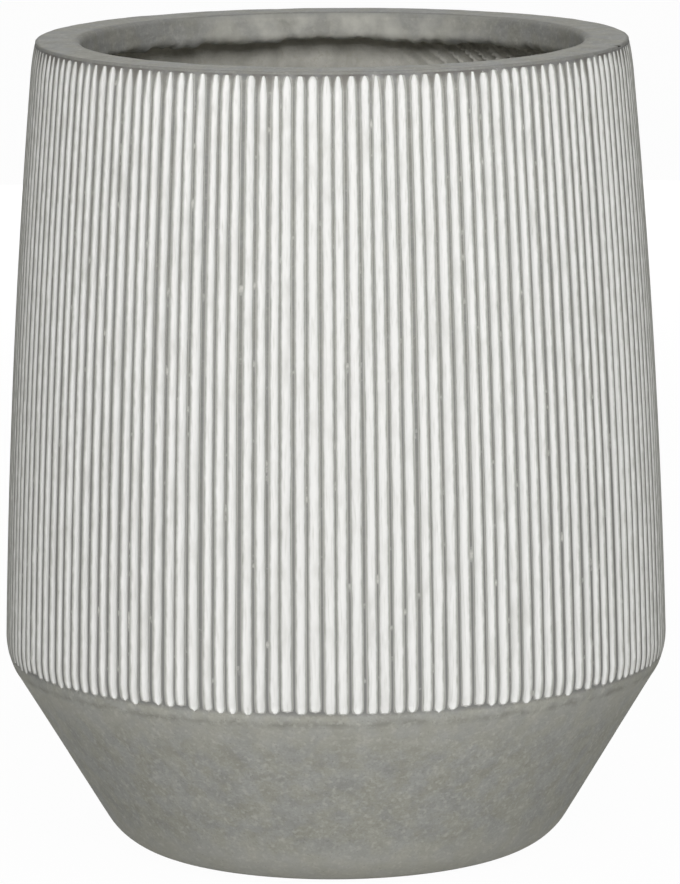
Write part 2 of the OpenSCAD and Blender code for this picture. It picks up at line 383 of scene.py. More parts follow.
# Glass-fibre cement pressed in by hand behind the face: rough, warm grey, wrinkled where the mat folds
fibreLay = {
    # the pale colour here is painted light under the lip and painted highlights on the folds
    "dark": "#a4a39b", "light": "#d6d4cc", "warm": "#b6b3a4", "paintedLight": "#ebe9e1", "roughness": 0.95,
    "matSize": 24 * mm, "strandSize": 2.4 * mm, "matTone": {1: 0.3, 2: 0.7},
    "fibre": {1: 0.5, 2: 0.75, 3: 0.0, 4: 0.6}, "lipShadowStray": 10 * mm, "lipShadowLight": {1: 469 * mm, 2: 477 * mm},
    "foldSize": 1.4 * mm, "foldStray": 6.0, "foldWay": (-0.63, 0.49, -1.0), "foldSpot": (0.099, 0.133, 0.465),
    "proud": {1: 0.35, 2: 1.0}, "nearFolds": {1: 25 * mm, 2: 65 * mm, 3: 0.8, 4: 0.0},
}


def makeFibre(look):
    material, tree, shader = newMaterial("fibre_cement_hand_laid")
    place = add(tree, "TexCoord").outputs["Object"]
    up = add(tree, "SeparateXYZ", {0: place}).outputs[2]
    mat = add(tree, "TexNoise", {"Vector": place, "Scale": 1 / look["matSize"], "Detail": 6.0,
                                 "Roughness": 0.65, "Distortion": 0.3})
    strands = add(tree, "TexNoise", {"Vector": place, "Scale": 1 / look["strandSize"], "Detail": 2.0,
                                     "Distortion": 1.0})
    tone = add(tree, "MapRange", {"Value": mat, **look["matTone"]})
    body = add(tree, "Mix", {0: tone, 6: linear(look["dark"]), 7: linear(look["light"])}, data_type="RGBA")
    fibre = add(tree, "MapRange", {"Value": strands, **look["fibre"]})
    # painted light: paler just under the lip, lifting the lip's shadow on the wall
    lipShadowLift = add(tree, "Math", {0: mat, 1: look["lipShadowStray"], 2: up}, operation="MULTIPLY_ADD")
    lipShadowLight = add(tree, "MapRange", {"Value": lipShadowLift, **look["lipShadowLight"]})
    # folds of the mat that stand proud on the right, slantwise, with painted highlights along their ridges
    acrossFolds = add(tree, "VectorMath", {0: place, 1: look["foldWay"]}, operation="DOT_PRODUCT")
    strayed = add(tree, "Math", {0: mat, 1: look["foldStray"]}, operation="MULTIPLY")
    foldTurn = add(tree, "Math", {0: acrossFolds, 1: 1 / look["foldSize"], 2: strayed},
                   operation="MULTIPLY_ADD")
    foldWave = add(tree, "Math", {0: foldTurn}, operation="SINE")
    proud = add(tree, "MapRange", {"Value": foldWave, **look["proud"]})
    fromFolds = add(tree, "VectorMath", {0: place, 1: look["foldSpot"]}, operation="DISTANCE")
    near = add(tree, "MapRange", {"Value": fromFolds, **look["nearFolds"]})
    foldTone = add(tree, "Math", {0: proud, 1: near}, operation="MULTIPLY")
    colour = layered(tree, body, look, [(fibre, "warm"), (lipShadowLight, "paintedLight"), (foldTone, "paintedLight")])
    relief = add(tree, "Math", {0: strands, 1: 0.6, 2: mat}, operation="MULTIPLY_ADD")
    folded = add(tree, "Math", {0: foldTone, 1: 1.5, 2: relief}, operation="MULTIPLY_ADD")
    bump = add(tree, "Bump", {"Strength": 0.6, "Distance": 0.9 * mm, "Height": folded})
    fill(tree, shader, {"Base Color": colour, "Roughness": look["roughness"], "Normal": bump,
                        "Specular IOR Level": 0.2})
    return material


fibreGrey = makeFibre(fibreLay)

# Natural rubber, compression moulded: near black, with a dusty bloom and a soft sheen
plugLook = {"black": "#1d1d1e", "paleLayer": "#3b3b3a", "bloomSize": 7 * mm, "grainSize": 0.7 * mm,
            "bloomTone": {1: 0.45, 2: 0.75}, "gloss": {1: 0.3, 2: 0.7, 3: 0.5, 4: 0.72}}


def makeRubber(look):
    material, tree, shader = newMaterial("rubber_compression_moulded")
    place = add(tree, "TexCoord").outputs["Object"]
    paleLayer = add(tree, "TexNoise", {"Vector": place, "Scale": 1 / look["bloomSize"], "Detail": 4.0})
    grain = add(tree, "TexNoise", {"Vector": place, "Scale": 1 / look["grainSize"], "Detail": 2.0})
    tone = add(tree, "MapRange", {"Value": paleLayer, **look["bloomTone"]})
    gloss = add(tree, "MapRange", {"Value": paleLayer, **look["gloss"]})
    bump = add(tree, "Bump", {"Strength": 0.2, "Distance": 0.1 * mm, "Height": grain})
    colour = layered(tree, linear(look["black"]), look, [(tone, "paleLayer")])
    fill(tree, shader, {"Base Color": colour, "Roughness": gloss, "Normal": bump})
    return material


rubberBlack = makeRubber(plugLook)
print("materials ready")

# The flutes: their size, and how far the hand-made mould strays from even
fluteSizes = {
    "Depth": 2.0 * mm, "Depth spread": 0.24, "Width low": 0.77, "Width high": 0.73, "Uneven": 0.24,
    "Ripple": 0.26, "Wander": 0.17, "Waver": 0.1, "Low end": 117.2 * mm, "Low round": 4 * mm,
    "High end": 488.2 * mm, "Taper": 10 * mm, "End spread": 2.2 * mm, "Seed": 4.0,
}
strips = {"Flutes": 154, "Rows": 76, "Crowding": 0.78, "Low": outline["seam"] * mm,
          "High": outline["rimSeat"] * mm}
# A strip is counted across in lanes: -3 to 3 in the groove, and on to 4 either side over half a land
grooveLane, landLane = 3.0, 4.0


def makeFluteRule():
    # where a point of a flute's strip lies: Lane is its place across, and Height its place up the wall
    tree, given, made = newTree(
        "fluteRule",
        [(label, "NodeSocketFloat", 0.0) for label in ("Flute", "Lane", "Height", "Lift", "Count")] +
        [(label, "NodeSocketFloat", size) for label, size in fluteSizes.items()],
        [("Position", "NodeSocketVector"), ("Open", "NodeSocketFloat")])
    o = outline
    seedStep, endStep = 7.31, 0.47  # between the seeds of two flutes, and from a flute's to its ends'
    driftSize = 30 * mm  # about how far up the wall the width and the line keep their way
    tipPower, taperLeast, taperMost = 0.38, 0.25, 1.75
    mostWide = 0.95  # share of its pitch that a flute may take
    # wall radius over the lands, falling away at the shoulder and the rounded edge
    t = add(tree, "MapRange", {"Value": given["Height"], 1: o["height"] * mm,
                               2: (o["height"] - o["wallDrop"]) * mm}, clamp=False)
    slope = add(tree, "Math", {0: t, 1: -o["crown"] * mm, 2: (o["widen"] + o["crown"]) * mm},
                operation="MULTIPLY_ADD")
    land = add(tree, "Math", {0: slope, 1: t, 2: o["topRadius"] * mm}, operation="MULTIPLY_ADD")
    for upper, lower, bend in ((given["Height"], o["shoulderStart"] * mm, o["shoulderRound"] * mm),
                               (o["edgeTangent"] * mm, given["Height"], o["edgeRound"] * mm)):
        past = add(tree, "Math", {0: upper, 1: lower}, operation="SUBTRACT")
        pastOnly = add(tree, "Math", {0: past, 1: 0.0}, operation="MAXIMUM")
        square = add(tree, "Math", {0: pastOnly, 1: pastOnly}, operation="MULTIPLY")
        land = add(tree, "Math", {0: square, 1: -0.5 / bend, 2: land}, operation="MULTIPLY_ADD")
    # unevenness: values of each flute's own, and two that drift up the wall
    number = add(tree, "Math", {0: given["Flute"], 1: given["Count"]}, operation="FLOORED_MODULO")
    spread = add(tree, "Math", {0: number, 1: seedStep, 2: given["Seed"]}, operation="MULTIPLY_ADD")
    endSpread = add(tree, "Math", {0: spread, 1: endStep}, operation="ADD")
    ownHash, endHash = (add(tree, "TexWhiteNoise", {"W": seed}, noise_dimensions="1D")
                        for seed in (spread, endSpread))
    ownEven = add(tree, "VectorMath", {0: ownHash.outputs["Color"], 1: (0.5, 0.5, 0.5)}, operation="SUBTRACT")
    own = add(tree, "SeparateXYZ", {0: ownEven}).outputs
    ends = add(tree, "SeparateXYZ", {0: endHash.outputs["Color"]}).outputs
    drift = add(tree, "Math", {0: given["Height"], 1: 1 / driftSize}, operation="MULTIPLY")
    driftSpot = add(tree, "CombineXYZ", {0: spread, 1: drift})
    ripple = add(tree, "TexNoise", {"Vector": driftSpot, "Scale": 1.0, "Detail": 2.0})
    waver = add(tree, "TexNoise", {"Vector": driftSpot, "Scale": 0.55, "Detail": 1.0})
    rippled, wavered = (add(tree, "Math", {0: way, 1: 0.5}, operation="SUBTRACT") for way in (ripple, waver))
    # each flute has its own ends: round at the foot, drawn out to a tip or left blunt under the rim
    lowEnd = add(tree, "Math", {0: ends[0], 1: given["End spread"], 2: given["Low end"]},
                 operation="MULTIPLY_ADD")
    upBy = add(tree, "Math", {0: given["Height"], 1: lowEnd}, operation="SUBTRACT")
    lowLeft = add(tree, "MapRange", {"Value": upBy, 2: given["Low round"], 3: 1.0, 4: 0.0})
    lowSquare = add(tree, "Math", {0: lowLeft, 1: lowLeft}, operation="MULTIPLY")
    lowRest = add(tree, "Math", {0: 1.0, 1: lowSquare}, operation="SUBTRACT")
    lowOpen = add(tree, "Math", {0: lowRest}, operation="SQRT")
    highDrop = add(tree, "Math", {0: ends[1], 1: given["End spread"]}, operation="MULTIPLY")
    highEnd = add(tree, "Math", {0: highDrop, 1: -0.5, 2: given["High end"]}, operation="MULTIPLY_ADD")
    downBy = add(tree, "Math", {0: highEnd, 1: given["Height"]}, operation="SUBTRACT")
    taperShare = add(tree, "MapRange", {"Value": ends[2], 3: taperLeast, 4: taperMost})
    taper = add(tree, "Math", {0: taperShare, 1: given["Taper"]}, operation="MULTIPLY")
    highShare = add(tree, "MapRange", {"Value": downBy, 2: taper})
    highOpen = add(tree, "Math", {0: highShare, 1: tipPower}, operation="POWER")
    opened = add(tree, "Math", {0: lowOpen, 1: highOpen}, operation="MULTIPLY")
    # depth, width and place of the groove
    deepness = add(tree, "Math", {0: own[2], 1: given["Depth spread"], 2: 1.0}, operation="MULTIPLY_ADD")
    fullDepth = add(tree, "Math", {0: deepness, 1: given["Depth"]}, operation="MULTIPLY")
    depth = add(tree, "Math", {0: fullDepth, 1: opened}, operation="MULTIPLY")
    ownShift = add(tree, "Math", {0: own[0], 1: given["Wander"]}, operation="MULTIPLY")
    shift = add(tree, "Math", {0: wavered, 1: given["Waver"], 2: ownShift}, operation="MULTIPLY_ADD")
    shiftSize = add(tree, "Math", {0: shift}, operation="ABSOLUTE")
    room = add(tree, "Math", {0: shiftSize, 1: -2.0, 2: mostWide}, operation="MULTIPLY_ADD")
    wide = add(tree, "MapRange", {"Value": t, 3: given["Width high"], 4: given["Width low"]})
    ownWide = add(tree, "Math", {0: own[1], 1: given["Uneven"], 2: 1.0}, operation="MULTIPLY_ADD")
    unevenWide = add(tree, "Math", {0: rippled, 1: given["Ripple"], 2: ownWide}, operation="MULTIPLY_ADD")
    wideHere = add(tree, "Math", {0: wide, 1: unevenWide}, operation="MULTIPLY")
    wideFit = add(tree, "Math", {0: wideHere, 1: room}, operation="MINIMUM")
    width = add(tree, "Math", {0: wideFit, 1: opened}, operation="MULTIPLY")
    # place across, in pitches from the flute's middle line
    groove = add(tree, "Math", {0: given["Lane"], 1: grooveLane}, operation="DIVIDE")
    u = add(tree, "Clamp", {"Value": groove, "Min": -1.0, "Max": 1.0})
    fromMiddle = add(tree, "Math", {0: u, 1: width}, operation="MULTIPLY")
    inGroove = add(tree, "Math", {0: fromMiddle, 1: 0.5, 2: shift}, operation="MULTIPLY_ADD")
    size = add(tree, "Math", {0: given["Lane"]}, operation="ABSOLUTE")
    onLand = add(tree, "MapRange", {"Value": size, 1: grooveLane, 2: landLane})
    sign = add(tree, "Math", {0: given["Lane"]}, operation="SIGN")
    landEnd = add(tree, "Math", {0: sign, 1: 0.5}, operation="MULTIPLY")
    placeAcross = add(tree, "MapRange", {"Value": onLand, 3: inGroove, 4: landEnd})
    # the first flute lies half a pitch round from +X, as in the solids
    seat = add(tree, "Math", {0: given["Flute"], 1: 0.5}, operation="ADD")
    pitches = add(tree, "Math", {0: placeAcross, 1: seat}, operation="ADD")
    share = add(tree, "Math", {0: pitches, 1: given["Count"]}, operation="DIVIDE")
    angle = add(tree, "Math", {0: share, 1: 2 * math.pi}, operation="MULTIPLY")
    # a round-bottomed groove
    uSquare = add(tree, "Math", {0: u, 1: u}, operation="MULTIPLY")
    sunk = add(tree, "Math", {0: uSquare, 1: depth, 2: land}, operation="MULTIPLY_ADD")
    bottom = add(tree, "Math", {0: sunk, 1: depth}, operation="SUBTRACT")
    radius = add(tree, "Math", {0: bottom, 1: given["Lift"]}, operation="ADD")
    cosine, sine = (add(tree, "Math", {0: angle}, operation=wave) for wave in ("COSINE", "SINE"))
    x, y = (add(tree, "Math", {0: radius, 1: way}, operation="MULTIPLY") for way in (cosine, sine))
    spot = add(tree, "CombineXYZ", {0: x, 1: y, 2: given["Height"]})
    fill(tree, made, {"Position": spot, "Open": opened})
    return tree


fluteRule = makeFluteRule()


def makeFluteTree():
    # one strip for each flute, repeated round the pot and laid out by the rule
    counts = {"Flutes": 154, "Columns": 9, "Rows": 60}
    sizes = {"Reach": landLane, "Low": 0.1, "High": 0.48, "Crowding": 0.7, "Lift": 0.0, "Body": 0.0, "Trim": -1.0}
    tree, given, made = newTree(
        "fluteTree",
        [(label, "NodeSocketInt", count) for label, count in counts.items()] +
        [(label, "NodeSocketFloat", size) for label, size in {**sizes, **fluteSizes}.items()] +
        [("Material", "NodeSocketMaterial", None)],
        [("Geometry", "NodeSocketGeometry")])
    span = add(tree, "Math", {0: given["Reach"], 1: 2.0}, operation="MULTIPLY")
    strip = add(tree, "GeometryNodeMeshGrid", {"Size X": span, "Size Y": 1.0, "Vertices X": given["Columns"],
                                               "Vertices Y": given["Rows"]})
    seats = add(tree, "GeometryNodePoints", {"Count": given["Flutes"]})
    placed = add(tree, "GeometryNodeInstanceOnPoints", {"Points": seats, "Instance": strip})
    numbered = add(tree, "GeometryNodeStoreNamedAttribute",
                   {"Geometry": placed, "Name": "flute", "Value": add(tree, "GeometryNodeInputIndex")},
                   data_type="FLOAT", domain="INSTANCE")
    real = add(tree, "GeometryNodeRealizeInstances", {"Geometry": numbered})
    flat = add(tree, "SeparateXYZ", {0: add(tree, "GeometryNodeInputPosition")}).outputs
    u = add(tree, "Math", {0: flat[0], 1: grooveLane}, operation="DIVIDE")
    # rows crowd together towards both ends, where the flutes run out
    v = add(tree, "Math", {0: flat[1], 1: 0.5}, operation="ADD")
    turn = add(tree, "Math", {0: v, 1: 2 * math.pi}, operation="MULTIPLY")
    wave = add(tree, "Math", {0: turn}, operation="SINE")
    push = add(tree, "Math", {0: given["Crowding"], 1: -0.5 / math.pi}, operation="MULTIPLY")
    row = add(tree, "Math", {0: wave, 1: push, 2: v}, operation="MULTIPLY_ADD")
    height = add(tree, "MapRange", {"Value": row, 3: given["Low"], 4: given["High"]})
    # a coat is thickest along the middle of its flute
    uSquare = add(tree, "Math", {0: u, 1: u}, operation="MULTIPLY")
    thin = add(tree, "Math", {0: 1.0, 1: uSquare}, operation="SUBTRACT")
    lift = add(tree, "Math", {0: thin, 1: given["Body"], 2: given["Lift"]}, operation="MULTIPLY_ADD")
    flute = add(tree, "GeometryNodeInputNamedAttribute", {"Name": "flute"}, data_type="FLOAT")
    shaped = add(tree, "GeometryNodeGroup", node_tree=fluteRule)
    fill(tree, shaped, {"Flute": flute, "Lane": flat[0], "Height": height, "Lift": lift,
                        "Count": given["Flutes"], **{label: given[label] for label in fluteSizes}})
    # how far from the middle of its flute a point lies, pushed well outside where the flute has closed
    away = add(tree, "Math", {0: u}, operation="ABSOLUTE")
    shut = add(tree, "MapRange", {"Value": shaped.outputs["Open"], 2: 0.15, 3: 1.4, 4: 0.0})
    side = add(tree, "Math", {0: away, 1: shut}, operation="ADD")
    marked = add(tree, "GeometryNodeStoreNamedAttribute", {"Geometry": real, "Name": "side", "Value": side},
                 data_type="FLOAT", domain="POINT")
    # the coat stops where its flute has closed
    closed = add(tree, "FunctionNodeCompare", {0: shaped.outputs["Open"], 1: given["Trim"]},
                 data_type="FLOAT", operation="LESS_THAN")
    kept = add(tree, "GeometryNodeDeleteGeometry", {"Geometry": marked, "Selection": closed}, domain="POINT")
    laid = add(tree, "GeometryNodeSetPosition", {"Geometry": kept, "Position": shaped.outputs["Position"]})
    joined = add(tree, "GeometryNodeMergeByDistance", {"Geometry": laid, "Distance": 0.01 * mm})
    whole = add(tree, "GeometryNodeRealizeInstances", {"Geometry": joined})
    dressed = add(tree, "GeometryNodeSetMaterial", {"Geometry": whole, "Material": given["Material"]})
    fill(tree, made, {"Geometry": dressed})
    return tree


fluteTree = makeFluteTree()
# What differs between the wall's strips, the slip in them and the slip's back
wallStrip = {"Columns": 9, "Reach": landLane, "Lift": 0.0, "Body": 0.0, "Trim": -1.0, "Material": fluted}
slipStrip = {"Columns": 7, "Reach": 2.97, "Lift": 0.12 * mm, "Body": 0.15 * mm, "Trim": 0.1,
             "Material": slipWhite}
slipUnder = dict(slipStrip, Columns=4, Body=-0.45 * mm)


def closeBehind(mesh, depth):
    # gives the open fluted skin a plain back, set in by depth, and closes its two ends
    tall, cuts = 100 * mm, 5
    work = bmesh.new()
    work.from_mesh(mesh)
    rims = [e for e in work.edges if e.is_boundary]
    grownEdges = bmesh.ops.extrude_edge_only(work, edges=rims)["geom"]
    for vert in (g for g in grownEdges if isinstance(g, bmesh.types.BMVert)):
        vert.co.xy *= 1 - depth / vert.co.xy.length
    inner = [g for g in grownEdges if isinstance(g, bmesh.types.BMEdge)]
    bridged = bmesh.ops.bridge_loops(work, edges=inner)["faces"]
    # the back bends with the wall, so that it stays clear of the lining
    sides = dict.fromkeys(e for f in bridged for e in f.edges)  # each edge once, in order
    uprights = [e for e in sides if abs(e.verts[0].co.z - e.verts[1].co.z) > tall]
    rings = bmesh.ops.subdivide_edges(work, edges=uprights, cuts=cuts)["geom_inner"]
    for vert in (g for g in rings if isinstance(g, bmesh.types.BMVert)):
        vert.co.xy *= liningRadius(vert.co.z / mm, depth / mm) * mm / vert.co.xy.length
    bmesh.ops.recalc_face_normals(work, faces=work.faces)
    work.to_mesh(mesh)
    work.free()


wall = grown("wall_face", fluteTree, {**fluteSizes, **strips, **wallStrip})
closeBehind(wall.data, outline["faceDepth"] * mm)
finishMesh(wall.data, 32)
print("wall", len(wall.data.polygons), "faces")

# The slip lies in the grooves only, a thin coat with a little body along its middle, and a back that dips
# just under the groove closes each strip into a thin solid
slip = grown("slip_stripes", fluteTree, {**fluteSizes, **strips, **slipStrip})
takeIn(slip.data, grown("slip_back", fluteTree, {**fluteSizes, **strips, **slipUnder}).data, 0.02 * mm)
finishMesh(slip.data, 60)
print("slip", len(slip.data.polygons), "faces")

# The plain base: a cone with a rounded foot and a flat underside, flush with the wall at its top
base = {"steps": 540, "holeRadius": 13.0, "holeSoft": 0.6, "under": 10.0, "wallLean": 1.5, "lump": 0.22,
        "lumpSize": 55 * mm, "fine": 0.3, "fineSize": 14 * mm, "standing": 1 * mm, "insideRadius": 90 * mm,
        "calmRun": 10 * mm, "seed": 3.0}


def baseProfile():
    o = outline
    flatEnd = o["footRadius"] - o["footRound"] * math.tan(math.radians(coneAngle / 2))
    foot = arcPoints((flatEnd, o["footRound"]), o["footRound"], -90, coneAngle - 90, 16)
    bend = math.tan(math.radians((90 + base["wallLean"] - coneAngle) / 2))
    tangent = o["edgeHeight"] - o["edgeRound"] * bend * math.sin(math.radians(coneAngle))
    cone = [(coneRadius(z), z) for z in np.linspace(foot[-1][1], tangent, 14)[1:]]
    # the last rows bend over to meet the wall
    start, top = cone[-1][0], wallRadius(o["seam"])
    blend = []
    for s in np.linspace(0.2, 0.9, 4):
        ease = s * (2.0 - s) * 0.3 + s * 0.7
        blend.append((start + (top - start) * ease, tangent + (o["seam"] - tangent) * s))
    inside = [(liningRadius(z, o["faceDepth"]), z) for z in (o["seam"], 80, 50, base["under"])]
    hole, soft = base["holeRadius"], base["holeSoft"]
    underside = [(hole, base["under"]), (hole, soft), (hole + soft, 0.0)]
    flat = [(r, 0.0) for r in np.linspace(30, flatEnd, 6)[:-1]]
    return flat + foot + cone + blend + [(top, o["seam"])] + inside + underside


def baseShape(p, angle):
    # slight hollows and rises from the mould, none on the face that it stands on
    radius = math.hypot(p[0], p[1])
    if p[2] > base["standing"] and radius > base["insideRadius"]:
        swell = wobble(p, base["lumpSize"], base["seed"])
        swell += base["fine"] * wobble(p, base["fineSize"], base["seed"])
        fade = min((outline["seam"] * mm - p[2]) / base["calmRun"], 1)
        p[:2] *= 1 + base["lump"] * mm * fade * (swell - 1) / radius


baseCone = turned("base_face", baseProfile(), base["steps"], moulded, baseShape, 35)
print("base", len(baseCone.data.polygons), "faces")

# The rim: a flat trowelled ring with soft edges, and a lip whose lower edge was left ragged
rim = {
    "steps": 900, "mouth": 150.0, "lipDrop": 19.2, "lipRound": 5.6, "browSoft": 0.9, "edgeSoft": 4.0,
    "topSpare": 0.15, "uneven": 0.25, "unevenSize": 26 * mm, "trowelSize": 7 * mm, "rearDip": 1.15,
    "lipInside": 158 * mm, "lipFrom": 487 * mm, "ragged": 1.8, "ragSize": 15 * mm, "ragFine": 0.9,
    "ragFineSize": 5 * mm, "swell": 0.5, "swellSize": 9 * mm, "outside": 170 * mm, "seed": 6.0,
}


def rimProfile():
    o = outline
    outer, top, bottom = wallRadius(o["rimSeat"]), o["height"] - rim["topSpare"], o["height"] - rim["lipDrop"]
    brow, soft, lip, mouth = rim["browSoft"], rim["edgeSoft"], rim["lipRound"], rim["mouth"]
    side = [(outer, o["rimSeat"])] + arcPoints((outer - brow, top - brow), brow, 0, 90, 8)
    flat = [(r, top) for r in np.linspace(outer - brow - 0.8, outer - brow - 5, 6)]
    flat += [(r, top) for r in np.linspace(outer - brow - 8, mouth + soft + 2, 5)]
    edge = arcPoints((mouth + soft, top - soft), soft, 90, 180, 8)
    face = [(mouth, top - soft + (bottom + lip - top + soft) * s) for s in np.linspace(0.2, 0.9, 5)]
    under = arcPoints((mouth + lip, bottom + lip), lip, 180, 270, 10)
    under += [(mouth + 10, bottom + 0.9), (mouth + 17.5, bottom + 1.5), (mouth + 19, o["rimSeat"])]
    return side + flat + edge + face + under


def rimShape(p, angle):
    low, seat, top = (outline["height"] - rim["lipDrop"]) * mm, outline["rimSeat"] * mm, outline["height"] * mm
    radius = math.hypot(p[0], p[1])
    plan = (p[0], p[1], 0)
    if p[2] > seat:
        # trowelled by eye: never quite level, and a little lower at the back
        rough = wobble(plan, rim["unevenSize"], rim["seed"])
        rough += 0.5 * wobble(plan, rim["trowelSize"], rim["seed"])
        lower = rim["uneven"] * max(rough + 0.6, 0) + rim["rearDip"] * max(math.sin(angle), 0) ** 2
        p[2] -= lower * mm * (p[2] - seat) / (top - seat)
    if radius < rim["lipInside"] and p[2] < rim["lipFrom"]:
        # lower lip: the mix slumped unevenly and was never tidied
        share = (rim["lipFrom"] - p[2]) / (rim["lipFrom"] - low)
        rag = wobble(plan, rim["ragSize"], 2) + rim["ragFine"] * wobble(plan, rim["ragFineSize"], 3)
        p[2] += rim["ragged"] * mm * share ** 2 * rag
        p[:2] *= 1 + rim["swell"] * mm * share * wobble(p, rim["swellSize"], 5) / radius
    turn = (angle - chipTurn + math.pi) % (2 * math.pi) - math.pi
    away = math.hypot(radius * turn / mm, (radius / mm - chip["radius"]) * chip["squeeze"])
    if radius > rim["outside"] and away < chip["size"]:
        bite = chip["depth"] * mm * (1 - (away / chip["size"]) ** 2)
        p[2] -= bite
        p[:2] *= 1 - chip["inwards"] * bite / radius


rimRing = turned("rim_trowelled", rimProfile(), rim["steps"], trowelled, rimShape, 40)
print("rim", len(rimRing.data.polygons), "faces")

# The lining: hand-laid backing on the wall and the base, with lumps, folds and ridges of mat
lining = {
    "steps": 640, "rows": 90, "baseRows": 18, "crowding": 1.7, "floor": 22.0, "low": 108.0, "high": 486.0,
    "bond": 0.5, "lump": 1.3, "lumpSize": 34 * mm, "fold": 0.9, "foldSize": 15 * mm, "fine": 0.35,
    "fineSize": 5 * mm, "mostProud": 0.6, "crease": 4.5, "creaseTurn": 53.2, "creaseSpread": 24.0,
    "creaseSize": 1.5 * mm, "creaseTop": 478 * mm, "creaseRun": 70 * mm, "hollow": 2.6,
    "hollowFrom": 450 * mm, "hollowRun": 14 * mm, "seed": 9.0,
}


def liningShape(p, angle):
    radius = math.hypot(p[0], p[1])
    if radius >= liningRadius(p[2] / mm, outline["liningDepth"]) * mm + 1 * mm:
        return  # the back, against the face layer
    lump = wobble(p, lining["lumpSize"], lining["seed"])
    fold = abs(wobble((p[0], p[1] * 1.3, p[2] * 0.7), lining["foldSize"], lining["seed"] + 1))
    fine = wobble(p, lining["fineSize"], lining["seed"] + 2)
    # creases run slantwise where the mat was pushed up under the lip
    turn = (math.degrees(angle) - lining["creaseTurn"]) / lining["creaseSpread"]
    slant = math.sin((radius * angle * 0.8 - p[2]) / lining["creaseSize"] + 2.5 * lump)
    nearTop = max(1 - (lining["creaseTop"] - p[2]) / lining["creaseRun"], 0)
    crease = max(slant, 0) ** 3 * math.exp(-turn * turn) * nearTop
    hollow = lining["hollow"] * min(max((p[2] - lining["hollowFrom"]) / lining["hollowRun"], 0), 1)
    deep = lining["lump"] * (lump - 0.6) - lining["fold"] * (0.35 - fold) + lining["fine"] * fine
    p[:2] *= 1 + (min(deep - lining["crease"] * crease, lining["mostProud"]) + hollow) * mm / radius


def liningProfile(low, high, rows):
    # rows crowd towards the top, the part that can be seen through the mouth
    up = [low + (high - low) * (1 - (1 - s) ** lining["crowding"]) for s in np.linspace(0, 1, rows)]
    inner = [(liningRadius(z, outline["liningDepth"]), z) for z in up]
    behind = outline["faceDepth"] + lining["bond"]
    return inner + [(liningRadius(z, behind), z) for z in np.linspace(high, low, 12)]


wallLining = turned("wall_lining", liningProfile(lining["low"], lining["high"], lining["rows"]),
                    lining["steps"], fibreGrey, liningShape, 60)
baseLining = turned("base_lining", liningProfile(lining["floor"], lining["low"], lining["baseRows"]),
                    lining["steps"], fibreGrey, liningShape, 60)
print("lining", len(wallLining.data.polygons) + len(baseLining.data.polygons), "faces")

# The floor inside: a poured slab, levelled roughly by hand, open at the drain
slab = {"steps": 240, "low": 10.2, "top": 22.0, "holeRadius": 13.0, "holeSoft": 0.5, "bond": 0.4, "lump": 0.35,
        "lumpSize": 40 * mm, "fine": 0.4, "fineSize": 9 * mm, "plugSeat": 23 * mm, "seed": 12.0}


def slabProfile():
    hole, soft, low, top = slab["holeRadius"], slab["holeSoft"], slab["low"], slab["top"]
    edge, edgeLow = (liningRadius(z, outline["faceDepth"] + slab["bond"]) for z in (top, low))
    rings = [(hole, low), (hole, top - soft), (hole + soft, top)]
    return rings + [(r, top) for r in np.linspace(21, edge - 1, 26)] + [(edge, top), (edgeLow, low)]


def slabShape(p, angle):
    plan = (p[0], p[1], 0)
    if p[2] > (slab["top"] - 1) * mm and math.hypot(p[0], p[1]) > slab["plugSeat"]:
        swell = wobble(plan, slab["lumpSize"], slab["seed"])
        swell += slab["fine"] * wobble(plan, slab["fineSize"], slab["seed"])
        p[2] += slab["lump"] * mm * (swell - 0.6)


floorSlab = turned("floor_poured", slabProfile(), slab["steps"], fibreGrey, slabShape, 50)
print("floor", len(floorSlab.data.polygons), "faces")

# The drain plug: a tapered stopper with a soft flange and a tab to pull it by
plug = {"steps": 96, "seat": 22.0, "length": 16.6, "hole": 12.6, "taper": 1.2, "ribs": (5.0, 9.0, 13.0),
        "ribHeight": 0.45, "flange": 19.9, "flangeHeight": 3.4, "flangeSoft": 1.2, "tabWidth": 15.8,
        "tabHeight": 16.8, "tabDepth": 4.8, "tabSteps": 32, "tabFlare": 1.06, "tabSoft": 0.8, "tabSunk": 0.3,
        "eye": 3.5}


def plugProfile():
    p = plug
    top, low, end = p["seat"] + p["flangeHeight"], p["seat"] - p["length"], p["hole"] - p["taper"]
    shank = [(0.0, low + 1.5), (end - 3.2, low + 1.5), (end - 2.6, low), (end - 0.8, low), (end, low + 0.8)]
    ribs = []
    for z in p["ribs"]:
        r, foot = p["hole"] - p["taper"] * (1 - z / p["length"]), p["ribHeight"]
        ribs += [(r - foot, low + z - 1.2), (r, low + z - 0.3), (r, low + z + 0.3), (r - foot, low + z + 1.2)]
    seat, soft = p["seat"] + 0.05, p["flangeSoft"]
    under = [(p["hole"] - 0.1, p["seat"] - 0.6), (p["hole"], seat), (p["flange"] - 0.6, seat)]
    side = arcPoints((p["flange"] - soft, top - 1.4), soft, -80, 90, 9)
    crown = [(p["flange"] - 5, top), (9.0, top), (0.0, top)]
    return shank + ribs + under + side + crown


